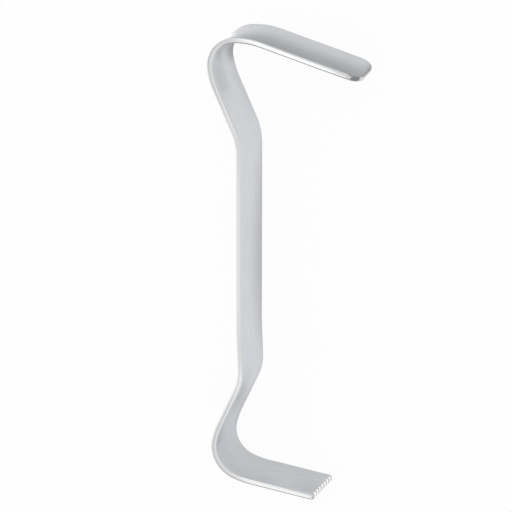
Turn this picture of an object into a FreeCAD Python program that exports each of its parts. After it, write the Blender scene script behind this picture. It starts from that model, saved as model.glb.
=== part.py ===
# Handheld double-ended retractor, bent from one flat bar of stainless steel.
# Lengths are in millimetres and angles in degrees.
#
# The retractor lies on one long edge, as it comes to rest when it is put down:
# X points along the blades, Y along the grip, from the toothed lower blade to
# the plain upper blade, and Z up through the width of the bar.  The origin is
# below the middle of the part, on the surface that it lies on.

import FreeCAD, Part
import math
import os
from enum import IntEnum

import Sketcher

# Driving dimensions.  A bend's radius is the one on its inner side.  A blade's
# length is that of its straight part, along the edge that the part lies on.
SIZES = {
    # the flat bar
    "bar_width": 20.0,
    "bar_thickness": 2.3,
    "edge_round": 0.5,
    # the grip, straight but for a slight set forward near its lower end
    "grip_length": 71.0,
    "set_radius": 59.0,
    "set_angle": 2.5,
    "set_length": 12.0,
    # the easy bends that lead into and out of both heels
    "ease_radius": 28.8,
    # the upper end, from the grip to the tip of the plain blade
    "upper_flare_radius": 21.4,
    "upper_flare_angle": 25.5,
    "upper_flank_length": 16.4,
    "upper_ease_in_angle": 16.0,
    "upper_heel_radius": 9.4,
    "upper_heel_angle": 90.0,
    "upper_ease_out_angle": 22.5,
    "upper_blade_length": 38.3,
    # its end, a little askew, with the far corner on the edge that the part lies on
    "upper_end_slant": 5.5,
    "upper_far_corner_radius": 7.0,
    "upper_near_corner_radius": 4.5,
    # the lower end, from the grip to the tip of the toothed blade
    "lower_flare_radius": 18.8,
    "lower_flare_angle": 27.0,
    "lower_flank_length": 17.1,
    "lower_ease_in_angle": 14.5,
    "lower_heel_radius": 10.2,
    "lower_heel_angle": 82.5,
    "lower_ease_out_angle": 13.7,
    "lower_blade_length": 26.8,
    "lower_corner_radius": 1.2,
    # the notches that leave the teeth across the end of the lower blade
    "tooth_count": 8,
    "notch_depth": 1.2,
    "notch_root_radius": 0.35,
    "notch_flank_angle": 30.0,
    "notch_run_out": 1.0,
}

SHEET = "Sizes"
NODE = "retractor_body"

ALONG_Z = FreeCAD.Vector(0, 0, 1)
NEAR = 1e-4


class Place(IntEnum):
    """The points of an edge, as the constraints number them."""

    START = 1
    END = 2
    CENTRE = 3


class Guide(IntEnum):
    """A sketch's own origin and Y axis, and the first two edges it takes from the solid."""

    ORIGIN = -1
    Y_AXIS = -2
    FIRST_OUTER = -3
    SECOND_OUTER = -4


class Towards(IntEnum):
    """The way that a bend turns: to the blades' side, or away from it."""

    FRONT = 1
    BACK = -1


def fill_sheet(doc):
    """The driving dimensions, one named cell each."""
    sheet = doc.addObject("Spreadsheet::Sheet", SHEET)
    for row, (name, value) in enumerate(SIZES.items(), start=1):
        sheet.set(f"A{row}", name)
        sheet.set(f"B{row}", str(value))
        sheet.setAlias(f"B{row}", name)
    doc.recompute()
    return sheet


def size(sheet, name):
    """The value of a named cell."""
    return float(sheet.get(name))


def origin_feature(body, role):
    """One of the body's own origin planes or axes."""
    return next(item for item in body.Origin.OriginFeatures if item.Role == role)


def polar(angle, radius=1.0):
    """A vector in a sketch's plane, at an angle in degrees from its X axis."""
    turn = math.radians(angle)
    return FreeCAD.Vector(math.cos(turn), math.sin(turn), 0) * radius


def add_arc(sketch, centre, radius, first, last):
    """An arc that runs anticlockwise from one angle to another."""
    circle = Part.Circle(centre, ALONG_Z, radius)
    return sketch.addGeometry(Part.ArcOfCircle(circle, math.radians(first), math.radians(last)), False)


def add_line(sketch, start, end):
    """A straight edge between two points."""
    return sketch.addGeometry(Part.LineSegment(start, end), False)


def constrain(sketch, kind, *places):
    """A constraint with no size, or with a fixed one."""
    return sketch.addConstraint(Sketcher.Constraint(kind, *places))


def dimension(sketch, kind, *places, value, formula):
    """A dimension that a formula on the sheet's cells drives."""
    index = constrain(sketch, kind, *places, value)
    sketch.setExpression(f"Constraints[{index}]", formula)


class BackLine:
    """The line that the back face of the bar follows from one end of the grip.

    It is drawn edge by edge towards a blade's tip.  Every edge is tangent to
    the one before, and the sheet's cells drive its size.
    """

    def __init__(self, sketch, sheet, grip, grip_end, point, heading, forward_turn):
        self.sketch = sketch
        self.sheet = sheet
        self.last, self.last_end = grip, grip_end
        self.point = point
        self.heading = heading
        self.forward_turn = forward_turn

    def join(self, edge, near_end, far_end):
        """Tie an edge to the end of the one before it, smoothly."""
        constrain(self.sketch, "Tangent", self.last, self.last_end, edge, near_end)
        self.last, self.last_end = edge, far_end

    def straight(self, length_name):
        """A straight run of the bar."""
        length = size(self.sheet, length_name)
        end = self.point + polar(self.heading, length)
        edge = add_line(self.sketch, self.point, end)
        self.join(edge, Place.START, Place.END)
        dimension(self.sketch, "Distance", edge, value=length, formula=f"{SHEET}.{length_name}")
        self.point = end

    def bend(self, radius_name, angle_name, towards):
        """A bend of the bar.  The back face is on its outer side where it turns forward."""
        radius = size(self.sheet, radius_name)
        formula = f"{SHEET}.{radius_name}"
        if towards == Towards.FRONT:
            radius += size(self.sheet, "bar_thickness")
            formula += f" + {SHEET}.bar_thickness"
        angle = size(self.sheet, angle_name)
        turn = towards * self.forward_turn
        centre = self.point + polar(self.heading + 90 * turn, radius)
        first = self.heading - 90 * turn
        last = first + angle * turn
        edge = add_arc(self.sketch, centre, radius, min(first, last), max(first, last))
        near_end, far_end = (Place.START, Place.END) if turn > 0 else (Place.END, Place.START)
        self.join(edge, near_end, far_end)
        dimension(self.sketch, "Radius", edge, value=radius, formula=formula)
        dimension(self.sketch, "Angle", edge, value=math.radians(angle),
                  formula=f"{SHEET}.{angle_name} * 1 deg")
        self.point = centre + polar(last, radius)
        self.heading += angle * turn

    def along(self):
        """The direction in which the line ends."""
        return polar(self.heading)

    def forward(self):
        """The direction from the back face to the front face, at the line's end."""
        return polar(self.heading + 90 * self.forward_turn)

    def front_point(self):
        """The point of the front face that faces the line's end."""
        return self.point + self.forward() * size(self.sheet, "bar_thickness")


def draw_grip(sketch, sheet):
    """The straight grip, centred on the sketch's origin, with its upper end."""
    length = size(sheet, "grip_length")
    upper_end = FreeCAD.Vector(0, length / 2, 0)
    grip = add_line(sketch, upper_end, upper_end * -1)
    constrain(sketch, "PointOnObject", grip, Place.START, Guide.Y_AXIS)
    constrain(sketch, "Symmetric", grip, Place.START, grip, Place.END, Guide.ORIGIN, Place.START)
    dimension(sketch, "Distance", grip, value=length, formula=f"{SHEET}.grip_length")
    return grip, upper_end


def draw_upper_end(line):
    """From the grip back through the flare, round the heel and along the plain blade."""
    line.bend("upper_flare_radius", "upper_flare_angle", Towards.BACK)
    line.straight("upper_flank_length")
    line.bend("ease_radius", "upper_ease_in_angle", Towards.FRONT)
    line.bend("upper_heel_radius", "upper_heel_angle", Towards.FRONT)
    line.bend("ease_radius", "upper_ease_out_angle", Towards.FRONT)
    line.straight("upper_blade_length")


def draw_lower_end(line):
    """From the grip through its set and the flare, round the heel to the toothed end."""
    line.bend("set_radius", "set_angle", Towards.FRONT)
    line.straight("set_length")
    line.bend("lower_flare_radius", "lower_flare_angle", Towards.BACK)
    line.straight("lower_flank_length")
    line.bend("ease_radius", "lower_ease_in_angle", Towards.FRONT)
    line.bend("lower_heel_radius", "lower_heel_angle", Towards.FRONT)
    line.bend("ease_radius", "lower_ease_out_angle", Towards.FRONT)
    line.straight("lower_blade_length")


def sketch_back(body, sheet):
    """The back line of the whole bent bar, from the grip to both tips."""
    sketch = body.newObject("Sketcher::SketchObject", "BackLine")
    sketch.AttachmentSupport = [(origin_feature(body, "XY_Plane"), "")]
    sketch.MapMode = "FlatFace"
    grip, upper_end = draw_grip(sketch, sheet)
    upper = BackLine(sketch, sheet, grip, Place.START, upper_end, heading=90.0, forward_turn=-1)
    lower = BackLine(sketch, sheet, grip, Place.END, upper_end * -1, heading=270.0, forward_turn=1)
    draw_upper_end(upper)
    draw_lower_end(lower)
    return sketch, upper, lower


def thicken(body, sketch):
    """The side view of the bar: its back line, with the bar's thickness put on forward."""
    outline = body.newObject("PartDesign::SubShapeBinder", "SideView")
    outline.Support = [(sketch, ("",))]
    outline.OffsetOpenResult = True
    outline.OffsetFill = True
    outline.MakeFace = True
    outline.setExpression("Offset", f"-{SHEET}.bar_thickness")
    return outline


def extrude(body, outline):
    """The bent bar at its full width, with square ends and edges."""
    bar = body.newObject("PartDesign::Pad", "BentBar")
    bar.Profile = (outline, [""])
    bar.setExpression("Length", f"{SHEET}.bar_width")
    return bar


def flat_face(shape, point, direction):
    """The flat face that a point is level with and that faces a direction."""
    for number, face in enumerate(shape.Faces, start=1):
        flat = isinstance(face.Surface, Part.Plane)
        if flat and face.normalAt(0, 0).dot(direction) > 1 - NEAR:
            if abs((point - face.CenterOfMass).dot(direction)) < NEAR:
                return f"Face{number}"
    raise ValueError("no flat face is there")


def edge_through(shape, point, direction):
    """The straight edge that starts or ends at a point and runs in a direction."""
    for number, edge in enumerate(shape.Edges, start=1):
        first, last = edge.Vertexes[0].Point, edge.Vertexes[-1].Point
        touches = min(first.distanceToPoint(point), last.distanceToPoint(point)) < NEAR
        if touches and (last - first).cross(direction).Length < NEAR:
            return f"Edge{number}"
    raise ValueError("no edge runs that way from the point")


def slant_end(body, base, line):
    """The end of the plain blade, ground a little askew: longest at the near edge."""
    slanted = body.newObject("PartDesign::Draft", "SlantedEnd")
    slanted.Base = (base, [flat_face(base.Shape, line.point, line.along())])
    slanted.NeutralPlane = (origin_feature(body, "XY_Plane"), [""])
    slanted.setExpression("Angle", f"{SHEET}.upper_end_slant * 1 deg")
    slanted.Reversed = True
    body.Document.recompute()
    return slanted


def round_corners(body, base, line, points, radius_name):
    """Corners of a tip, rounded as seen from above the blade, each given by a point on it."""
    corners = body.newObject("PartDesign::Fillet", "RoundedCorners")
    corners.Base = (base, [edge_through(base.Shape, point, line.forward()) for point in points])
    corners.setExpression("Radius", f"{SHEET}.{radius_name}")
    body.Document.recompute()
    return corners


def shape_upper_tip(body, base, sheet, line):
    """The slanted end of the plain blade, with its two corners."""
    width = size(sheet, "bar_width")
    reach = width * math.tan(math.radians(size(sheet, "upper_end_slant")))
    far_corner = line.point
    near_corner = line.point + ALONG_Z * width + line.along() * reach
    slanted = slant_end(body, base, line)
    far = round_corners(body, slanted, line, [far_corner], "upper_far_corner_radius")
    return round_corners(body, far, line, [near_corner], "upper_near_corner_radius")


def shape_lower_tip(body, base, sheet, line):
    """The square end of the toothed blade, with its two corners."""
    points = [line.point, line.point + ALONG_Z * size(sheet, "bar_width")]
    return round_corners(body, base, line, points, "lower_corner_radius")


def sharp_edges(shape):
    """The edges where two faces meet at an angle, rather than run on smoothly."""
    names = []
    for number, edge in enumerate(shape.Edges, start=1):
        middle = edge.valueAt((edge.FirstParameter + edge.LastParameter) / 2)
        normals = []
        for face in shape.ancestorsOfType(edge, Part.Face):
            normals.append(face.normalAt(*face.Surface.parameter(middle)))
        if abs(normals[0].dot(normals[1])) < 0.5:
            names.append(f"Edge{number}")
    return names


def round_edges(body, base):
    """The worn-smooth edges of the bar, on both sides and round both tips."""
    edges = body.newObject("PartDesign::Fillet", "RoundedEdges")
    edges.Base = (base, sharp_edges(base.Shape))
    edges.setExpression("Radius", f"{SHEET}.edge_round")
    return edges


def draw_notch(sketch, sheet, root, deep):
    """A V-shaped notch with a round root, open past the blade's end.

    root is the centre of the round, and deep is the angle that points from it
    into the blade.
    """
    radius = size(sheet, "notch_root_radius")
    flank_angle = size(sheet, "notch_flank_angle")
    depth = size(sheet, "notch_depth")
    run_out = size(sheet, "notch_run_out")
    half_turn = 90 - flank_angle
    round_height = depth - radius + radius * math.sin(math.radians(flank_angle))
    flank_length = (round_height + run_out) / math.cos(math.radians(flank_angle))
    near_foot = root + polar(deep - half_turn, radius)
    far_foot = root + polar(deep + half_turn, radius)
    near_mouth = near_foot + polar(deep - half_turn - 90, flank_length)
    far_mouth = far_foot + polar(deep + half_turn + 90, flank_length)

    arc = add_arc(sketch, root, radius, deep - half_turn, deep + half_turn)
    near_flank = add_line(sketch, near_foot, near_mouth)
    far_flank = add_line(sketch, far_foot, far_mouth)
    mouth = add_line(sketch, near_mouth, far_mouth)
    constrain(sketch, "Tangent", arc, Place.START, near_flank, Place.START)
    constrain(sketch, "Tangent", arc, Place.END, far_flank, Place.START)
    constrain(sketch, "Coincident", near_flank, Place.END, mouth, Place.START)
    constrain(sketch, "Coincident", far_flank, Place.END, mouth, Place.END)
    constrain(sketch, "Parallel", mouth, Guide.FIRST_OUTER)
    constrain(sketch, "Equal", near_flank, far_flank)
    dimension(sketch, "Radius", arc, value=radius, formula=f"{SHEET}.notch_root_radius")
    dimension(sketch, "Angle", arc, value=math.radians(2 * half_turn),
              formula=f"(180 - 2 * {SHEET}.notch_flank_angle) * 1 deg")
    dimension(sketch, "Distance", arc, Place.CENTRE, Guide.FIRST_OUTER, value=depth - radius,
              formula=f"{SHEET}.notch_depth - {SHEET}.notch_root_radius")
    dimension(sketch, "Distance", arc, Place.CENTRE, Guide.SECOND_OUTER, value=tooth_pitch(sheet),
              formula=f"{SHEET}.bar_width / {SHEET}.tooth_count")
    dimension(sketch, "Distance", mouth, Place.START, Guide.FIRST_OUTER, value=run_out,
              formula=f"{SHEET}.notch_run_out")


def tooth_pitch(sheet):
    """The teeth share the width of the blade."""
    return size(sheet, "bar_width") / size(sheet, "tooth_count")


def sketch_notch(body, sheet, bar, line):
    """The notch beside the tooth that the part lies on, drawn on the blade's front face."""
    corner = line.front_point()
    inward = line.along() * -1
    sketch = body.newObject("Sketcher::SketchObject", "Notch")
    sketch.AttachmentSupport = [(bar, flat_face(bar.Shape, corner, line.forward()))]
    sketch.MapMode = "FlatFace"
    body.Document.recompute()
    sketch.addExternal(bar.Name, edge_through(bar.Shape, corner, ALONG_Z))
    sketch.addExternal(bar.Name, edge_through(bar.Shape, corner, inward))
    root_depth = size(sheet, "notch_depth") - size(sheet, "notch_root_radius")
    root = corner + inward * root_depth + ALONG_Z * tooth_pitch(sheet)
    to_sketch = sketch.Placement.inverse()
    direction = to_sketch.Rotation.multVec(inward)
    deep = math.degrees(math.atan2(direction.y, direction.x))
    draw_notch(sketch, sheet, to_sketch.multVec(root), deep)
    return sketch


def cut_teeth(body, sketch):
    """The notch, cut through the thickness and repeated across the blade's width."""
    notch = body.newObject("PartDesign::Pocket", "FirstNotch")
    notch.Profile = (sketch, [""])
    notch.Type = "ThroughAll"
    body.Document.recompute()
    teeth = body.newObject("PartDesign::LinearPattern", "Teeth")
    teeth.Originals = [notch]
    teeth.Direction = (origin_feature(body, "Z_Axis"), [""])
    span = f"{SHEET}.bar_width * ({SHEET}.tooth_count - 2) / {SHEET}.tooth_count"
    teeth.setExpression("Length", span)
    teeth.setExpression("Occurrences", f"{SHEET}.tooth_count - 1")
    body.Tip = teeth
    return teeth


def make_retractor(doc, sheet):
    """The whole retractor, one solid."""
    body = doc.addObject("PartDesign::Body", "Retractor")
    body.Label = NODE
    back, upper, lower = sketch_back(body, sheet)
    doc.recompute()
    bar = extrude(body, thicken(body, back))
    doc.recompute()
    upper_tip = shape_upper_tip(body, bar, sheet, upper)
    lower_tip = shape_lower_tip(body, upper_tip, sheet, lower)
    rounded = round_edges(body, lower_tip)
    doc.recompute()
    cut_teeth(body, sketch_notch(body, sheet, bar, lower))
    doc.recompute()
    if body.Shape.Volume >= rounded.Shape.Volume:
        raise ValueError("the notches cut nothing")
    return body


def stand_on_origin(body):
    """Move the part so that the origin is below its middle."""
    box = body.Shape.optimalBoundingBox()
    body.Placement = FreeCAD.Placement(
        FreeCAD.Vector(-box.Center.x, -box.Center.y, -box.ZMin), FreeCAD.Rotation())
    body.Document.recompute()


def check(doc, body):
    """Stop if any feature failed or the solid isn't sound."""
    for item in doc.Objects:
        if "Invalid" in item.State or "Error" in item.State:
            raise ValueError(f"{item.Name} failed: {item.State}")
    if body.Shape.isNull() or not body.Shape.isValid() or len(body.Shape.Solids) != 1:
        raise ValueError(f"{body.Label} isn't one valid solid")


def main():
    doc = FreeCAD.newDocument("retractor")
    sheet = fill_sheet(doc)
    body = make_retractor(doc, sheet)
    stand_on_origin(body)
    check(doc, body)
    os.makedirs("parts", exist_ok=True)
    body.Shape.exportStep(f"parts/{body.Label}.step")
    box = body.Shape.optimalBoundingBox()
    print(f"{body.Label}: {box.XLength:.2f} x {box.YLength:.2f} x {box.ZLength:.2f} mm,"
          f" {body.Shape.Volume:.1f} cubic mm")


main()
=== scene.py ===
"""Satin steel retractor, bent from one flat bar, lying on its edge on a pale table.

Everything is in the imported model's own frame.  The bar's sizes are in
millimetres, the studio's and the finishes' in metres, and the angles of all of
them in degrees.  The retractor's body is built here again as one fine mesh, with
the satin of its flats and the polish of its edges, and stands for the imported
solid of the same shape.
"""

import logging
import math
from dataclasses import dataclass, field
from enum import Enum
from typing import Any, Optional, Sequence, Union

import bpy
import numpy as np
from mathutils import Matrix, Vector

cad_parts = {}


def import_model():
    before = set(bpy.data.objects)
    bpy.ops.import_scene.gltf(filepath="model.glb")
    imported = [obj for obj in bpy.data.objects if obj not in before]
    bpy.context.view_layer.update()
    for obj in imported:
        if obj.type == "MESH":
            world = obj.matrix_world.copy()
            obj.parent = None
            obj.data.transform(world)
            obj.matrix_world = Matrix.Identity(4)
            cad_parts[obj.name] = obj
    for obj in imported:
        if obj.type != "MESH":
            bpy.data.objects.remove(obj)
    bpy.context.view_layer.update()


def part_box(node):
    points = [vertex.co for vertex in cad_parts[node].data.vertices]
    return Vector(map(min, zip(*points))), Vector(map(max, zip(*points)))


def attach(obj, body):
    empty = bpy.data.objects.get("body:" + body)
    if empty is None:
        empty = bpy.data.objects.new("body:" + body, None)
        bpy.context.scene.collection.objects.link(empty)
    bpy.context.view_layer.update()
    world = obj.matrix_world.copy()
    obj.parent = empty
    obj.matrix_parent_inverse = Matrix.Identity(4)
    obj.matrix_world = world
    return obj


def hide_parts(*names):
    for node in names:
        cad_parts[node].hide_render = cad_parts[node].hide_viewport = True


LOG = logging.getLogger("retractor")

MM = 0.001
CAD_NODE = "retractor_body"
BODY = "root"

Number = Union[int, float]
Colour = tuple[float, float, float]
Point = tuple[float, float, float]
Span = tuple[float, float]

WHITE: Colour = (1.0, 1.0, 1.0)


def grey(level: float) -> Colour:
    """A colour without a tint."""
    return (level, level, level)


def smooth(share: float) -> float:
    """Ease a share in and out, held between 0 and 1."""
    share = min(1.0, max(0.0, share))
    return share * share * (3 - 2 * share)


def towards(azimuth: float, elevation: float) -> Point:
    """The direction at an angle round from the X axis and an angle above the table."""
    turn, rise = math.radians(azimuth), math.radians(elevation)
    return (math.cos(turn) * math.cos(rise), math.sin(turn) * math.cos(rise), math.sin(rise))


def put(name: str, data: bpy.types.ID) -> bpy.types.Object:
    """Put a new object in the scene.

    Args:
        name: Its name.
        data: Its mesh, lamp or camera.

    Returns:
        The object.
    """
    made = bpy.data.objects.new(name, data)
    bpy.context.scene.collection.objects.link(made)
    return made


# Shader maths

class Value:
    """A number that varies over a surface: one output socket, with arithmetic."""

    def __init__(self, tree: "Tree", socket: bpy.types.NodeSocket) -> None:
        """Wrap an output socket of a tree."""
        self.tree = tree
        self.socket = socket

    def _math(self, operation: str, *operands: Union["Value", Number]) -> "Value":
        """Add a Math node, and give its result."""
        return self.tree.number("ShaderNodeMath", {"operation": operation}, *operands)

    def __add__(self, other: Union["Value", Number]) -> "Value":
        """The sum."""
        return self._math("ADD", self, other)

    __radd__ = __add__

    def __mul__(self, other: Union["Value", Number]) -> "Value":
        """The product."""
        return self._math("MULTIPLY", self, other)

    __rmul__ = __mul__

    def __sub__(self, other: Union["Value", Number]) -> "Value":
        """The difference."""
        return self._math("SUBTRACT", self, other)

    def __rsub__(self, other: Number) -> "Value":
        """The difference from a plain number."""
        return self._math("SUBTRACT", other, self)

    def __truediv__(self, other: Union["Value", Number]) -> "Value":
        """The quotient."""
        return self._math("DIVIDE", self, other)

    def __rtruediv__(self, other: Number) -> "Value":
        """The quotient of a plain number and this one."""
        return self._math("DIVIDE", other, self)

    def ramp(self, first: Number, last: Number) -> "Value":
        """Ease from 0 to 1 while this number goes from first to last, up or down."""
        settings = {"interpolation_type": "SMOOTHSTEP", "clamp": True}
        return self.tree.number("ShaderNodeMapRange", settings, self, first, last, 0.0, 1.0)


Input = Union[Value, Number, Sequence[float], bpy.types.NodeSocket]


class Tree:
    """A node tree that is being written."""

    def __init__(self, owner: Union[bpy.types.Material, bpy.types.World]) -> None:
        """Empty the owner's node tree.

        Args:
            owner: The material or world that gets the nodes.
        """
        owner.use_nodes = True
        self.nodes = owner.node_tree.nodes
        self.links = owner.node_tree.links
        self.nodes.clear()

    def node(self, kind: str, settings: Optional[dict[str, Any]] = None,
             inputs: Optional[dict[Union[str, int], Input]] = None) -> bpy.types.Node:
        """Add any node.

        Args:
            kind: The node's type.
            settings: Its settings, set before its sockets.
            inputs: A value or a link for each of its input sockets that needs one.

        Returns:
            The node.
        """
        made = self.nodes.new(kind)
        for name, value in (settings or {}).items():
            setattr(made, name, value)
        for key, value in (inputs or {}).items():
            self.feed(made.inputs[key], value)
        return made

    def feed(self, socket: bpy.types.NodeSocket, value: Input) -> None:
        """Link or set one input socket.

        Args:
            socket: The input socket.
            value: What it gets: a link or a plain value.
        """
        if isinstance(value, Value):
            self.links.new(value.socket, socket)
        elif isinstance(value, bpy.types.NodeSocket):
            self.links.new(value, socket)
        elif socket.type == "RGBA":
            socket.default_value = (*value, 1.0)
        else:
            socket.default_value = value

    def number(self, kind: str, settings: dict[str, Any], *operands: Input) -> Value:
        """Add a node that takes its inputs in order, and give the number that it makes."""
        made = self.node(kind, settings, dict(enumerate(operands)))
        return Value(self, made.outputs[0])

    def mix_colours(self, factor: Input, first: Input, second: Input) -> bpy.types.NodeSocket:
        """Mix two colours.

        Args:
            factor: The share of the second one.
            first: The first colour.
            second: The second colour.

        Returns:
            The mixed colour.
        """
        made = self.node("ShaderNodeMix", {"data_type": "RGBA"})
        sockets = [socket for socket in made.inputs if socket.enabled]
        for socket, value in zip(sockets, (factor, first, second)):
            self.feed(socket, value)
        return next(socket for socket in made.outputs if socket.enabled)

    def mix_shaders(self, factor: Input, first: bpy.types.Node,
                    second: bpy.types.Node) -> bpy.types.Node:
        """Mix two shaders, with the factor as the share of the second one."""
        return self.node("ShaderNodeMixShader", None, {
            0: factor, 1: first.outputs[0], 2: second.outputs[0]})

    def surface(self, shader: bpy.types.Node) -> None:
        """Show a shader on the material's surface."""
        self.node("ShaderNodeOutputMaterial", None, {"Surface": shader.outputs[0]})

    def attribute(self, name: str) -> Value:
        """A number that the mesh carries at each of its points."""
        made = self.node("ShaderNodeAttribute", {"attribute_name": name})
        return Value(self, made.outputs["Fac"])

    def noise(self, vector: Input, scale: float, detail: float = 2.0,
              roughness: float = 0.5) -> Value:
        """Smooth noise about one half.

        Args:
            vector: Where it is read.
            scale: How many lumps it has to the unit of length.
            detail: How many finer layers it has.
            roughness: How strong the finer layers are.

        Returns:
            The noise.
        """
        made = self.node("ShaderNodeTexNoise", None, {
            "Vector": vector, "Scale": scale, "Detail": detail, "Roughness": roughness})
        return Value(self, made.outputs["Fac"])


# Finishes

class Layer(Enum):
    """The numbers that the body's mesh carries at each point, for its finish."""

    ALONG = "along"
    ACROSS = "across"
    EDGE = "edge"


@dataclass(frozen=True)
class SatinSteel:
    """Stainless steel with a fine satin on its flats and a polish on its rounded edges."""

    name: str = "satin steel"
    cool: Colour = (0.742, 0.767, 0.799)
    warm: Colour = (0.768, 0.776, 0.808)
    tints_to_cloud: float = 0.45
    tint_range: Span = (0.38, 0.62)
    polished: Colour = (0.775, 0.779, 0.782)
    polish_range: Span = (0.15, 0.85)
    flat_roughness: float = 0.34
    edge_roughness: float = 0.11
    edge_relief: float = 0.15
    cloud_size: float = 0.014
    cloud_roughness: float = 0.05
    lap_width: float = 0.0010
    lap_length: float = 0.007
    lap_rise: float = 0.004
    lap_depth: float = 0.0000012
    lap_roughness: float = 0.05
    lap_range: Span = (0.62, 0.38)
    lap_shade: Colour = (0.62, 0.64, 0.66)
    lap_strength: float = 0.28
    grain_size: float = 0.00009
    grain_depth: float = 0.0000010

    def material(self) -> bpy.types.Material:
        """Write the finish as a material.

        Returns:
            The material.
        """
        made = bpy.data.materials.new(self.name)
        tree = Tree(made)
        place = tree.node("ShaderNodeTexCoord").outputs["Object"]
        polish = tree.attribute(Layer.EDGE.value).ramp(*self.polish_range)
        clouds = tree.noise(place, 1 / self.cloud_size, detail=3.0, roughness=0.55)
        tint = tree.noise(place, self.tints_to_cloud / self.cloud_size, detail=1.0)
        laps = tree.noise(self.lap_place(tree, place), 1.0, detail=3.0, roughness=0.6)
        grain = tree.noise(place, 1 / self.grain_size, detail=2.0)
        satin = 1 - polish
        roughness = (self.edge_roughness
                     + satin * (self.flat_roughness - self.edge_roughness)
                     + (clouds - 0.5) * 2 * self.cloud_roughness
                     + (laps - 0.5) * self.lap_roughness * satin)
        relief = satin * (1 - self.edge_relief) + self.edge_relief
        height = (laps * self.lap_depth + grain * self.grain_depth) * relief
        bump = tree.node("ShaderNodeBump", None, {"Strength": 1.0, "Distance": 1.0, "Height": height})
        steel = tree.mix_colours(tint.ramp(*self.tint_range), self.cool, self.warm)
        lines = laps.ramp(*self.lap_range) * self.lap_strength
        lined = tree.mix_colours(lines, steel, self.lap_shade)
        colour = tree.mix_colours(polish, lined, self.polished)
        shader = tree.node("ShaderNodeBsdfPrincipled", None, {
            "Base Color": colour,
            "Metallic": 1.0,
            "Roughness": roughness,
            "Normal": bump.outputs["Normal"]})
        tree.surface(shader)
        return made

    def lap_place(self, tree: Tree, place: bpy.types.NodeSocket) -> bpy.types.NodeSocket:
        """Where the lapping lines are read: drawn out along the bar.

        Args:
            tree: The tree that is being written.
            place: The point itself, for the rounded edges.

        Returns:
            The stretched place.
        """
        height = tree.node("ShaderNodeSeparateXYZ", None, {"Vector": place}).outputs["Z"]
        made = tree.node("ShaderNodeCombineXYZ", None, {
            "X": tree.attribute(Layer.ALONG.value) / self.lap_length,
            "Y": tree.attribute(Layer.ACROSS.value) / self.lap_width,
            "Z": Value(tree, height) / self.lap_rise})
        return made.outputs["Vector"]


@dataclass(frozen=True)
class Patch:
    """A soft-edged round patch of another tone, on the table or in the room.

    On the table it is painted shade or a painted highlight for the steel to mirror:
    its centre and its radii are distances, only gloss shows it, and it may fade in
    with the distance of the steel that mirrors it.  In the room its centre is an
    azimuth and an elevation, its radii are angles, and it is part of the soft light.
    """

    centre: Span
    inner: float
    outer: float
    level: float
    beyond: Optional[Span] = None


@dataclass(frozen=True)
class PaleTable:
    """A white matt table top, seen nearly burnt out, as in a catalogue picture, with painted shade and
    painted highlights in the tone that only the steel's gloss shows.
    """

    name: str = "pale table"
    colour: Colour = grey(0.93)
    burnt: float = 0.94
    mirrored: float = 0.90
    mirror_tone: Colour = grey(0.87)
    patches: tuple[Patch, ...] = (
        # painted shade for the steel to mirror, wide ones: behind the grip, about the toothed blade, and
        # beyond the plain blade
        Patch((-0.217, 0.0), 0.200, 0.208, 0.62),
        Patch((0.008, -0.088), 0.026, 0.046, 0.72),
        Patch((0.1317, 0.570), 0.488, 0.502, 0.44),
        # painted shade beside the toothed blade and within its heel, and a painted highlight behind the
        # upper heel
        Patch((0.006, -0.072), 0.002, 0.013, 0.58),
        Patch((-0.0150, -0.0675), 0.002, 0.011, 0.60),
        Patch((-0.060, 0.093), 0.0230, 0.0325, 1.90),
        # painted shade within the upper heel, from the bend to the root of the blade, and past the plain
        # tip
        Patch((-0.0282, 0.0800), 0.001, 0.0075, 0.44),
        Patch((-0.0235, 0.0705), 0.001, 0.0085, 0.46, beyond=(0.010, 0.016)),
        Patch((-0.011, 0.0775), 0.001, 0.009, 0.50),
        Patch((0.0370, 0.0830), 0.0070, 0.0120, 0.40),
    )

    def material(self) -> bpy.types.Material:
        """Write the finish as a material.

        Returns:
            The material.
        """
        made = bpy.data.materials.new(self.name)
        tree = Tree(made)
        place = tree.node("ShaderNodeTexCoord").outputs["Object"]
        path = tree.node("ShaderNodeLightPath")
        camera = Value(tree, path.outputs["Is Camera Ray"])
        gloss = Value(tree, path.outputs["Is Glossy Ray"])
        clear = Value(tree, path.outputs["Is Transmission Ray"])
        matt = tree.node("ShaderNodeBsdfDiffuse", None, {"Color": self.colour})
        # the tone that gloss sees, with painted shade and painted highlights laid on it patch by patch
        shade: Input = self.mirror_tone
        for patch in self.patches:
            away = tree.node("ShaderNodeVectorMath", {"operation": "DISTANCE"}, {
                0: place, 1: (*patch.centre, 0.0)})
            near = Value(tree, away.outputs["Value"]).ramp(patch.outer, patch.inner)
            if patch.beyond:
                near = near * Value(tree, path.outputs["Ray Length"]).ramp(*patch.beyond)
            shade = tree.mix_colours(near, shade, grey(patch.level))
        shown = tree.mix_colours(camera, shade, WHITE)
        white = tree.node("ShaderNodeEmission", None, {"Color": shown, "Strength": 1.0})
        seen = camera * self.burnt + (gloss + clear) * self.mirrored
        tree.surface(tree.mix_shaders(seen, matt, white))
        return made


# The bent bar

class Turn(Enum):
    """The way that a bend turns."""

    NONE = 0
    FRONT = 1
    BACK = -1


class Side(Enum):
    """The half of the bar, as the sign of its distances along the bar."""

    UPPER = 1
    LOWER = -1


@dataclass(frozen=True)
class Run:
    """One stretch of the bar: straight, or bent on one radius."""

    turn: Turn
    length: float = 0.0
    radius: float = 0.0
    angle: float = 0.0


def straight(length: float) -> Run:
    """A straight stretch."""
    return Run(Turn.NONE, length=length)


def bend(turn: Turn, radius: float, angle: float) -> Run:
    """A bend, by the radius on its inner side."""
    return Run(turn, radius=radius, angle=angle)


def way(angle: float) -> Vector:
    """The direction at an angle in radians from the X axis, in the side view."""
    return Vector((math.cos(angle), math.sin(angle)))


@dataclass(frozen=True)
class Place:
    """A point of the back face's line, from the grip outward, and its heading in radians."""

    along: float
    point: Vector
    heading: float


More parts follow.
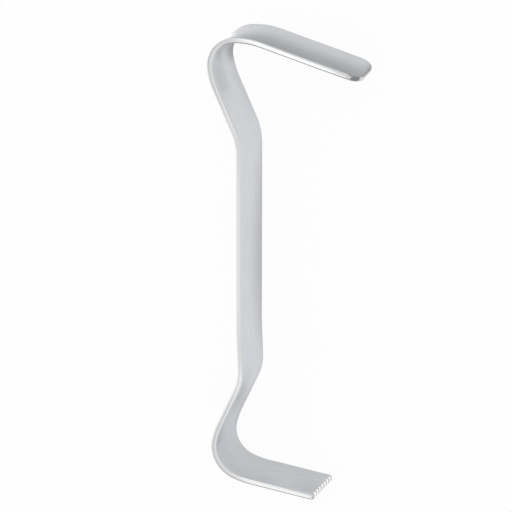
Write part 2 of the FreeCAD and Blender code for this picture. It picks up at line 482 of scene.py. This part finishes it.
@dataclass(frozen=True)
class Station:
    """A place along the whole bar: a point of its back face, and the way that it lies there."""

    along: float
    point: Vector
    heading: Vector
    front: Vector

    def moved(self, by: float) -> "Station":
        """A station on the same straight, further along."""
        return Station(self.along + by, self.point + self.heading * by, self.heading, self.front)


@dataclass(frozen=True)
class Tip:
    """The plan of a blade's straight and its end."""

    straight: float
    slant: float
    far_radius: float
    near_radius: float


@dataclass(frozen=True)
class TipPoint:
    """A point of a blade's outline, along and across its straight, and the edge there."""

    at: Vector
    inward: Vector
    edge: float


@dataclass(frozen=True)
class RimPoint:
    """A point of the whole bar's outline: across the bar at a station, and the edge there."""

    station: Station
    across: float
    inward: Vector
    edge: float


@dataclass
class BentBar:
    """The one bar that makes the retractor."""

    name: str = "bent_steel_bar"
    width: float = 20.0
    thickness: float = 2.3
    edge_round: float = 0.65
    tip_round: float = 0.8
    tip_blend: Span = (5.0, 13.0)
    grip_length: float = 71.0
    upper_runs: tuple[Run, ...] = (
        bend(Turn.BACK, 21.4, 25.5),
        straight(16.4),
        bend(Turn.FRONT, 28.8, 16.0),
        bend(Turn.FRONT, 9.4, 90.0),
        bend(Turn.FRONT, 28.8, 22.5),
    )
    upper_tip: Tip = Tip(straight=38.3, slant=5.5, far_radius=7.0, near_radius=4.5)
    lower_runs: tuple[Run, ...] = (
        bend(Turn.FRONT, 59.0, 2.5),
        straight(12.0),
        bend(Turn.BACK, 18.8, 27.0),
        straight(17.1),
        bend(Turn.FRONT, 28.8, 14.5),
        bend(Turn.FRONT, 10.2, 82.5),
        bend(Turn.FRONT, 28.8, 13.7),
    )
    lower_tip: Tip = Tip(straight=26.8, slant=0.0, far_radius=1.2, near_radius=1.2)
    tooth_count: int = 8
    tooth_broken: float = 0.06
    notch_depth: float = 1.2
    notch_root: float = 0.35
    notch_flank: float = 30.0
    notch_edge: float = 0.12
    notch_blend: float = 0.4
    crown: float = 8.0
    upper_cap: float = 8.0
    lower_cap: float = 3.0
    # how finely the mesh is made
    bend_step: float = 2.5
    straight_step: float = 2.5
    corner_step: float = 5.0
    tooth_steps: int = 24
    end_steps: int = 6
    blend_steps: int = 4
    round_steps: int = 6
    finish: SatinSteel = field(default_factory=SatinSteel)

    # The line of the back face

    def walk(self, runs: Sequence[Run], side: Side) -> list[Station]:
        """Follow the back face from the middle of the grip towards one tip.

        Args:
            runs: The stretches beyond the grip.
            side: The half of the bar.

        Returns:
            The stations, from the middle of the grip outward.
        """
        sign = side.value
        places = [Place(0.0, Vector((0.0, 0.0)), math.radians(90.0 * sign))]
        for run in (straight(self.grip_length / 2), *runs):
            if run.turn is Turn.NONE:
                places += self.follow_straight(places[-1], run)
            else:
                places += self.follow_bend(places[-1], run, side)
        return [Station(place.along * sign, place.point, way(place.heading) * sign,
                        way(place.heading - sign * math.pi / 2)) for place in places]

    def follow_straight(self, start: Place, run: Run) -> list[Place]:
        """Follow a straight stretch.

        Args:
            start: The end of the stretch before it.
            run: The stretch.

        Returns:
            The places along it.
        """
        steps = max(1, round(run.length / self.straight_step))
        reaches = [run.length * step / steps for step in range(1, steps + 1)]
        return [Place(start.along + reach, start.point + way(start.heading) * reach, start.heading)
                for reach in reaches]

    def follow_bend(self, start: Place, run: Run, side: Side) -> list[Place]:
        """Follow a bend, with the bar's thickness outside it where it turns to the front.

        Args:
            start: The end of the stretch before it.
            run: The bend.
            side: The half of the bar.

        Returns:
            The places along it.
        """
        radius = run.radius + (self.thickness if run.turn is Turn.FRONT else 0.0)
        turn = -side.value * run.turn.value
        centre = start.point + way(start.heading + turn * math.pi / 2) * radius
        steps = max(1, math.ceil(run.angle / self.bend_step))
        places = []
        for step in range(1, steps + 1):
            turned = math.radians(run.angle) * step / steps
            heading = start.heading + turn * turned
            point = centre + way(heading - turn * math.pi / 2) * radius
            places.append(Place(start.along + radius * turned, point, heading))
        return places

    def middle(self, lower: Station, upper: Station) -> list[Station]:
        """The stations between the two tips' caps, from the lower one to the upper one.

        Args:
            lower: The start of the lower blade's straight.
            upper: The start of the upper blade's straight.

        Returns:
            The stations.
        """
        first = lower.along - self.lower_tip.straight + self.lower_cap
        last = upper.along + self.upper_tip.straight - self.upper_cap
        down = self.walk((*self.lower_runs, straight(self.lower_tip.straight)), Side.LOWER)
        up = self.walk((*self.upper_runs, straight(self.upper_tip.straight)), Side.UPPER)
        return [station for station in down[:0:-1] + up if first < station.along < last]

    # The plan of the tips

    def notch(self, across: float) -> float:
        """How far the notches take back the end of the lower blade.

        Args:
            across: The distance across the bar.

        Returns:
            The depth, with the teeth's corners just broken.
        """
        pitch = self.width / self.tooth_count
        number = min(max(round(across / pitch), 1), self.tooth_count - 1)
        offset = abs(across - number * pitch)
        flank = math.radians(self.notch_flank)
        foot = self.notch_root * math.cos(flank)
        if offset < foot:
            return self.notch_depth - self.notch_root + math.sqrt(self.notch_root ** 2 - offset ** 2)
        at_foot = self.notch_depth - self.notch_root + self.notch_root * math.sin(flank)
        depth = at_foot - (offset - foot) / math.tan(flank)
        return 0.5 * (depth + math.sqrt(depth ** 2 + self.tooth_broken ** 2))

    def edge_radius(self, before: float) -> float:
        """The radius of the long edges at a distance before the plain blade's end.

        Args:
            before: The distance.

        Returns:
            The radius, which grows towards the end.
        """
        near, far = self.tip_blend
        share = smooth((far - before) / (far - near))
        return self.edge_round + (self.tip_round - self.edge_round) * share

    def corner(self, tip: Tip, across: float, radius: float, turn: Span, edge: float) -> list[TipPoint]:
        """One rounded corner of a blade's end.

        Args:
            tip: The plan of the end.
            across: The distance across the bar of the rounding's centre.
            radius: The rounding's radius.
            turn: The angles that it runs between, from the way of the blade.
            edge: The radius of the edge.

        Returns:
            The outline's points round the corner.
        """
        slant = math.radians(tip.slant)
        centre = Vector((tip.straight + across * math.tan(slant) - radius / math.cos(slant), across))
        first, last = turn
        steps = round((last - first) / self.corner_step)
        points = []
        for step in range(steps + 1):
            outward = way(math.radians(first + (last - first) * step / steps))
            points.append(TipPoint(centre + outward * radius, -outward, edge))
        return points

    def toothed_outline(self) -> list[TipPoint]:
        """The lower blade's end with its notches, from its far edge round to its near edge.

        Returns:
            The outline's points.
        """
        tip = self.lower_tip
        first, last = tip.far_radius, self.width - tip.near_radius
        count = self.tooth_count * self.tooth_steps
        points = self.corner(tip, first, tip.far_radius, (-90.0, 0.0), self.edge_round)
        for step in range(1, count):
            across = first + (last - first) * step / count
            depth = self.notch(across)
            share = smooth(depth / self.notch_blend)
            edge = self.edge_round + (self.notch_edge - self.edge_round) * share
            points.append(TipPoint(Vector((tip.straight - depth, across)), Vector((-1.0, 0.0)), edge))
        return points + self.corner(tip, last, tip.near_radius, (0.0, 90.0), self.edge_round)

    def plain_outline(self) -> list[TipPoint]:
        """The upper blade's slanted end, from its far edge round and along its near edge.

        Returns:
            The outline's points.
        """
        tip = self.upper_tip
        slant = math.radians(tip.slant)
        first, last = tip.far_radius, self.width - tip.near_radius
        points = self.corner(tip, first, tip.far_radius, (-90.0, -tip.slant), self.tip_round)
        for step in range(1, self.end_steps):
            across = first + (last - first) * step / self.end_steps
            at = Vector((tip.straight + across * math.tan(slant), across))
            points.append(TipPoint(at, -way(-slant), self.tip_round))
        points += self.corner(tip, last, tip.near_radius, (-tip.slant, 90.0), self.tip_round)
        corner_end = points[-1].at.x
        back = tip.straight - self.upper_cap - corner_end
        for step in range(1, self.blend_steps):
            reach = corner_end + back * step / self.blend_steps
            points.append(TipPoint(Vector((reach, self.width)), Vector((0.0, -1.0)),
                                   self.edge_radius(tip.straight - reach)))
        return points

    # The mesh

    def build(self) -> bpy.types.Object:
        """Build the whole bar as one closed mesh, and dress it.

        Returns:
            The dressed object.
        """
        lower = self.walk(self.lower_runs, Side.LOWER)[-1]
        upper = self.walk(self.upper_runs, Side.UPPER)[-1]
        middle = self.middle(lower, upper)
        plain_tip = self.hang(self.plain_outline(), upper, Side.UPPER)
        toothed_tip = self.hang(self.toothed_outline()[::-1], lower, Side.LOWER)
        end = upper.along + self.upper_tip.straight
        far_edge = [RimPoint(station, 0.0, Vector((0.0, 1.0)), self.edge_radius(end - station.along))
                    for station in middle]
        near_edge = [RimPoint(spot.station, self.width, -spot.inward, spot.edge)
                     for spot in reversed(far_edge)]
        rim = far_edge + plain_tip + near_edge + toothed_tip
        grid = np.array([self.profile(spot) for spot in rim], float)
        count, depth, _ = grid.shape
        broad_side = self.side_faces(len(middle), len(plain_tip), count)
        faces = self.edge_faces(count, depth)
        faces += [tuple(spot * depth for spot in reversed(face)) for face in broad_side]
        faces += [tuple(spot * depth + depth - 1 for spot in face) for face in broad_side]
        mesh = bpy.data.meshes.new(self.name)
        mesh.from_pydata(grid[:, :, :3].reshape(-1, 3) * MM, [], faces)
        mesh.validate()
        self.layers(mesh, grid.reshape(count * depth, -1))
        self.shade(mesh, grid[:, :, :3], math.tan(math.radians(self.crown)))
        made = put(self.name, mesh)
        self.settle(made)
        self.dress(made)
        return made

    @staticmethod
    def hang(outline: Sequence[TipPoint], start: Station, side: Side) -> list[RimPoint]:
        """Hang a blade's outline from the start of its straight.

        Args:
            outline: The outline's points.
            start: The start of the blade's straight.
            side: The blade's half of the bar.

        Returns:
            The same points on the whole bar's outline.
        """
        sign = side.value
        return [RimPoint(start.moved(sign * spot.at.x), spot.at.y,
                         Vector((sign * spot.inward.x, spot.inward.y)), spot.edge) for spot in outline]

    @staticmethod
    def edge_faces(count: int, depth: int) -> list[tuple[int, ...]]:
        """The faces of the rounded edge, all round the rim.

        Args:
            count: The number of profiles round the rim.
            depth: The number of points in a profile.

        Returns:
            The faces, by the mesh's points.
        """
        faces = []
        for here in range(0, count * depth, depth):
            there = (here + depth) % (count * depth)
            faces += [(here + step, there + step, there + step + 1, here + step + 1)
                      for step in range(depth - 1)]
        return faces

    @staticmethod
    def side_faces(middle: int, tip: int, count: int) -> list[tuple[int, ...]]:
        """The faces of one broad side: a ladder between the long edges, and a cap at each tip.

        Args:
            middle: The number of profiles along each long edge.
            tip: The number of profiles round the upper tip.
            count: The number of profiles round the whole rim.

        Returns:
            The faces, by the number of the profile.
        """
        back = 2 * middle + tip - 1
        ladder = [(rung, rung + 1, back - rung - 1, back - rung) for rung in range(middle - 1)]
        upper_cap = tuple(range(middle - 1, middle + tip + 1))
        lower_cap = tuple(spot % count for spot in range(back, count + 1))
        return [*ladder, upper_cap, lower_cap]

    def profile(self, spot: RimPoint) -> list[tuple[float, ...]]:
        """The rounded edge at one point of the outline, from the back face to the front.

        Args:
            spot: The outline's point.

        Returns:
            Points, each with its place, its distances along and across the bar,
            and how far out on the edge it is.
        """
        turns = [math.pi / 2 * step / self.round_steps for step in range(self.round_steps + 1)]
        back = [(spot.edge * (1 - math.sin(turn)), spot.edge * (1 - math.cos(turn)), math.sin(turn))
                for turn in turns]
        front = [(inset, self.thickness - depth, out) for inset, depth, out in reversed(back)]
        station = spot.station
        made = []
        for inset, depth, out in back + front:
            shift = spot.inward * inset
            point = station.point + station.heading * shift.x + station.front * depth
            across = spot.across + shift.y
            made.append((point.x, point.y, across, station.along + shift.x, across, out))
        return made

    @staticmethod
    def layers(mesh: bpy.types.Mesh, points: np.ndarray) -> None:
        """Give the mesh the numbers that its finish reads.

        Args:
            mesh: The mesh.
            points: Its points, with the numbers in columns 3 to 5.
        """
        for layer, column, scale in ((Layer.ALONG, 3, MM), (Layer.ACROSS, 4, MM), (Layer.EDGE, 5, 1.0)):
            attribute = mesh.attributes.new(layer.value, "FLOAT", "POINT")
            attribute.data.foreach_set("value", (points[:, column] * scale).astype(np.float32))

    @staticmethod
    def shade(mesh: bpy.types.Mesh, grid: np.ndarray, crown: float) -> None:
        """Set exact normals: square to the faces, and turning smoothly round the edges.

        Args:
            mesh: The mesh.
            grid: Its points, by rim profile and place in the profile.
            crown: How much the flats fall away towards the long edges, as a slope.
        """
        round_rim = np.roll(grid, -1, axis=0) - np.roll(grid, 1, axis=0)
        over_rim = np.gradient(grid, axis=1)
        normals = np.cross(round_rim, over_rim)
        normals /= np.linalg.norm(normals, axis=2, keepdims=True)
        front = grid[:, -1] - grid[:, 0]
        front /= np.linalg.norm(front, axis=1, keepdims=True)
        height = grid[:, 0, 2]
        fall = np.zeros_like(front)
        fall[:, 2] = crown * (2 * (height - height.min()) / (height.max() - height.min()) - 1)
        normals[:, -1] = front + fall
        normals[:, 0] = -front + fall
        normals /= np.linalg.norm(normals, axis=2, keepdims=True)
        mesh.shade_smooth()
        mesh.normals_split_custom_set_from_vertices(normals.reshape(-1, 3).tolist())

    def settle(self, made: bpy.types.Object) -> None:
        """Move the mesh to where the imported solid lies.

        Args:
            made: The object, whose mesh is still about the middle of the grip.
        """
        low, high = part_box(CAD_NODE)
        corners = np.array([vertex.co for vertex in made.data.vertices])
        centre = (corners.min(0) + corners.max(0)) / 2
        shift = (low + high) / 2 - Vector(centre)
        made.data.transform(Matrix.Translation(shift))

    def dress(self, made: bpy.types.Object) -> None:
        """Give the bar its finish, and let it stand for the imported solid.

        Args:
            made: The bar's object.
        """
        made.data.materials.append(self.finish.material())
        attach(made, BODY)
        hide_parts(CAD_NODE)


# The studio

@dataclass(frozen=True)
class Softbox:
    """A soft lamp above the table, which looks straight down unless it is aimed."""

    name: str
    place: Point
    width: float
    height: float
    power: float
    aim: Optional[Point] = None

    def build(self) -> bpy.types.Object:
        """Hang the lamp.

        Returns:
            The lamp's object.
        """
        data = bpy.data.lights.new(self.name, "AREA")
        data.shape = "RECTANGLE"
        data.size = self.width
        data.size_y = self.height
        data.energy = self.power
        made = put(self.name, data)
        made.location = self.place
        if self.aim:
            line = Vector(self.aim) - Vector(self.place)
            made.rotation_euler = line.to_track_quat("-Z", "Y").to_euler()
        made.visible_camera = False
        return made


@dataclass(frozen=True)
class PaintedShadeCard:
    """A dark card, curved round a blade's tip, that only the gloss of near steel shows: painted shade
    put into the tip's reflection, which blocks no light.
    """

    name: str
    centre: Point
    radius: float
    azimuths: Span
    elevations: Span
    fade: float
    tone: float
    reach: Span = (0.034, 0.044)
    side_fade: float = 0.0
    steps: int = 24

    def build(self) -> bpy.types.Object:
        """Hang the card.

        Returns:
            The card's object.
        """
        wide = self.steps + 1
        points = [Vector(towards(azimuth, elevation)) * self.radius
                  for elevation in np.linspace(*self.elevations, wide)
                  for azimuth in np.linspace(*self.azimuths, wide)]
        faces = [(here, here + 1, here + 1 + wide, here + wide)
                 for row in range(self.steps) for here in range(row * wide, row * wide + self.steps)]
        mesh = bpy.data.meshes.new(self.name)
        mesh.from_pydata(points, [], faces)
        mesh.materials.append(self.material())
        made = put(self.name, mesh)
        made.location = self.centre
        # seen only in reflections: no camera ray, diffuse light or shadow meets this painted shade
        made.visible_camera = False
        made.visible_diffuse = False
        made.visible_shadow = False
        return made

    def material(self) -> bpy.types.Material:
        """Write the card's painted shade, which fades out to clear at its top and bottom.

        It may fade out at its first side too.  It shows only in steel that lies
        near, so that no other stretch of the bar mirrors it.

        Returns:
            The material.
        """
        made = bpy.data.materials.new(self.name)
        tree = Tree(made)
        place = tree.node("ShaderNodeTexCoord").outputs["Object"]
        parts = tree.node("ShaderNodeSeparateXYZ", None, {"Vector": place}).outputs
        rise = Value(tree, parts["Z"])
        bottom, top = self.elevations
        low, past_low, before_high, high = (
            self.radius * math.sin(math.radians(elevation))
            for elevation in (bottom, bottom + self.fade, top - self.fade, top))
        away = Value(tree, tree.node("ShaderNodeLightPath").outputs["Ray Length"])
        near, far = self.reach
        # the mask of the painted shade: faded at top and bottom, and out of the reach of far steel
        dark = rise.ramp(low, past_low) * rise.ramp(high, before_high) * away.ramp(far, near)
        if self.side_fade:
            azimuth = tree.number("ShaderNodeMath", {"operation": "ARCTAN2"}, parts["Y"], parts["X"])
            first = self.azimuths[0]
            dark = dark * azimuth.ramp(math.radians(first), math.radians(first + self.side_fade))
        card = tree.node("ShaderNodeEmission", None, {"Color": grey(self.tone), "Strength": 1.0})
        tree.surface(tree.mix_shaders(dark, tree.node("ShaderNodeBsdfTransparent"), card))
        return made


@dataclass
class Studio:
    """A pale table in a soft white room, with lamps above, and dark cards of painted shade about the
    tips that only the steel's gloss shows.
    """

    table_radius: float = 3.0
    table_sides: int = 96
    table_drop: float = 0.00002
    sky: float = 0.86
    patches: tuple[Patch, ...] = (
        Patch((-120.0, 5.0), 25.0, 42.0, 0.22),
        Patch((180.0, 0.0), 30.0, 60.0, 1.30),
        Patch((-136.0, 59.0), 8.0, 22.0, 0.71),
    )
    table: PaleTable = field(default_factory=PaleTable)
    lamps: tuple[Softbox, ...] = (
        Softbox("upper softbox", (-0.1125, 0.0550, 0.30), width=0.053, height=0.190, power=0.0203),
        Softbox("lower softbox", (-0.1125, -0.22, 0.30), width=0.055, height=0.10, power=0.0086),
        Softbox("flank softbox", (-0.138, -0.110, 0.30), width=0.05, height=0.146, power=0.00367),
        Softbox("grip softbox", (-0.138, -0.110, 0.299), width=0.05, height=0.082, power=0.00129),
        Softbox("teeth softbox", (0.243, -0.293, 0.30), width=0.10, height=0.10, power=0.012,
                aim=(0.013, -0.085, 0.01)),
    )
    # dark cards: painted shade that only the tips' gloss shows
    cards: tuple[PaintedShadeCard, ...] = (
        PaintedShadeCard("upper right painted shade card", (0.030, 0.082, 0.019), radius=0.022, azimuths=(-118.0, 44.0),
                 elevations=(-16.0, 84.0), fade=14.0, tone=0.28, side_fade=24.0),
        PaintedShadeCard("upper far painted shade card", (0.030, 0.082, 0.019), radius=0.022, azimuths=(44.0, 105.0),
                 elevations=(-16.0, 70.0), fade=14.0, tone=0.34),
        PaintedShadeCard("lower painted shade card", (0.014, -0.085, 0.010), radius=0.050, azimuths=(-80.0, 10.0),
                 elevations=(-28.0, 34.0), fade=12.0, tone=0.46, reach=(0.066, 0.078)),
    )

    def build(self) -> list[bpy.types.Object]:
        """Set up the room and everything in it but the retractor.

        Returns:
            The table, the lamps and the dark cards of painted shade.
        """
        table = self.lay_table()
        self.surround()
        return [table, *(piece.build() for piece in (*self.lamps, *self.cards))]

    def lay_table(self) -> bpy.types.Object:
        """Lay the table top just under the retractor's lower edge.

        Returns:
            The table top.
        """
        corners = [way(2 * math.pi * number / self.table_sides) * self.table_radius
                   for number in range(self.table_sides)]
        mesh = bpy.data.meshes.new("table_top")
        mesh.from_pydata([(at.x, at.y, -self.table_drop) for at in corners], [],
                         [tuple(range(self.table_sides))])
        mesh.materials.append(self.table.material())
        made = put("table_top", mesh)
        return made

    def surround(self) -> None:
        """Light the room softly, and show it white to the camera."""
        world = bpy.data.worlds.new("studio")
        bpy.context.scene.world = world
        tree = Tree(world)
        camera = Value(tree, tree.node("ShaderNodeLightPath").outputs["Is Camera Ray"])
        ray = tree.node("ShaderNodeTexCoord").outputs["Generated"]
        light: Input = grey(self.sky)
        for patch in self.patches:
            likeness = tree.node("ShaderNodeVectorMath", {"operation": "DOT_PRODUCT"}, {
                0: ray, 1: towards(*patch.centre)})
            outer, inner = (math.cos(math.radians(angle)) for angle in (patch.outer, patch.inner))
            facing = Value(tree, likeness.outputs["Value"]).ramp(outer, inner)
            light = tree.mix_colours(facing, light, grey(patch.level))
        shown = tree.node("ShaderNodeBackground", None, {
            "Color": tree.mix_colours(camera, light, WHITE), "Strength": 1.0})
        tree.node("ShaderNodeOutputWorld", None, {"Surface": shown.outputs[0]})


@dataclass(frozen=True)
class PhotoCamera:
    """The camera where the photograph was taken from."""

    azimuth: float = 23.3589
    elevation: float = 20.9326
    roll: float = 0.0823
    distance: float = 1.0740861
    aim: Point = (-0.01441796, 0.00211593, 0.010)
    pixels_per_metre: float = 2647.0588
    frame_pixels: float = 512.0
    sensor: float = 36.0
    clip: Span = (0.01, 20.0)

    def build(self) -> bpy.types.Object:
        """Set up the camera.

        Returns:
            The camera's object.
        """
        turn, rise, roll = (math.radians(angle) for angle in (self.azimuth, self.elevation, self.roll))
        back = Vector((math.sin(turn) * math.cos(rise), math.sin(rise), math.cos(turn) * math.cos(rise)))
        level = Vector((math.cos(turn), 0.0, -math.sin(turn)))
        upright = back.cross(level)
        right = level * math.cos(roll) + upright * math.sin(roll)
        up = upright * math.cos(roll) - level * math.sin(roll)
        place = Vector(self.aim) + back * self.distance
        data = bpy.data.cameras.new("photo camera")
        data.sensor_width = self.sensor
        data.lens = self.pixels_per_metre * self.distance / self.frame_pixels * self.sensor
        data.clip_start, data.clip_end = self.clip
        made = put("photo camera", data)
        made.matrix_world = Matrix((
            (right.x, up.x, back.x, place.x),
            (right.y, up.y, back.y, place.y),
            (right.z, up.z, back.z, place.z),
            (0.0, 0.0, 0.0, 1.0)))
        bpy.context.scene.camera = made
        return made


def main() -> None:
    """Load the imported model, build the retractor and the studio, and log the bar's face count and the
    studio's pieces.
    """
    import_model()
    bpy.context.scene.view_settings.view_transform = "Standard"
    PhotoCamera().build()
    bar = BentBar().build()
    LOG.info("%s: %d faces", bar.name, len(bar.data.polygons))
    for made in Studio().build():
        LOG.info("%s: in the studio", made.name)


if __name__ == "__main__":
    logging.basicConfig(level=logging.INFO)
    main()
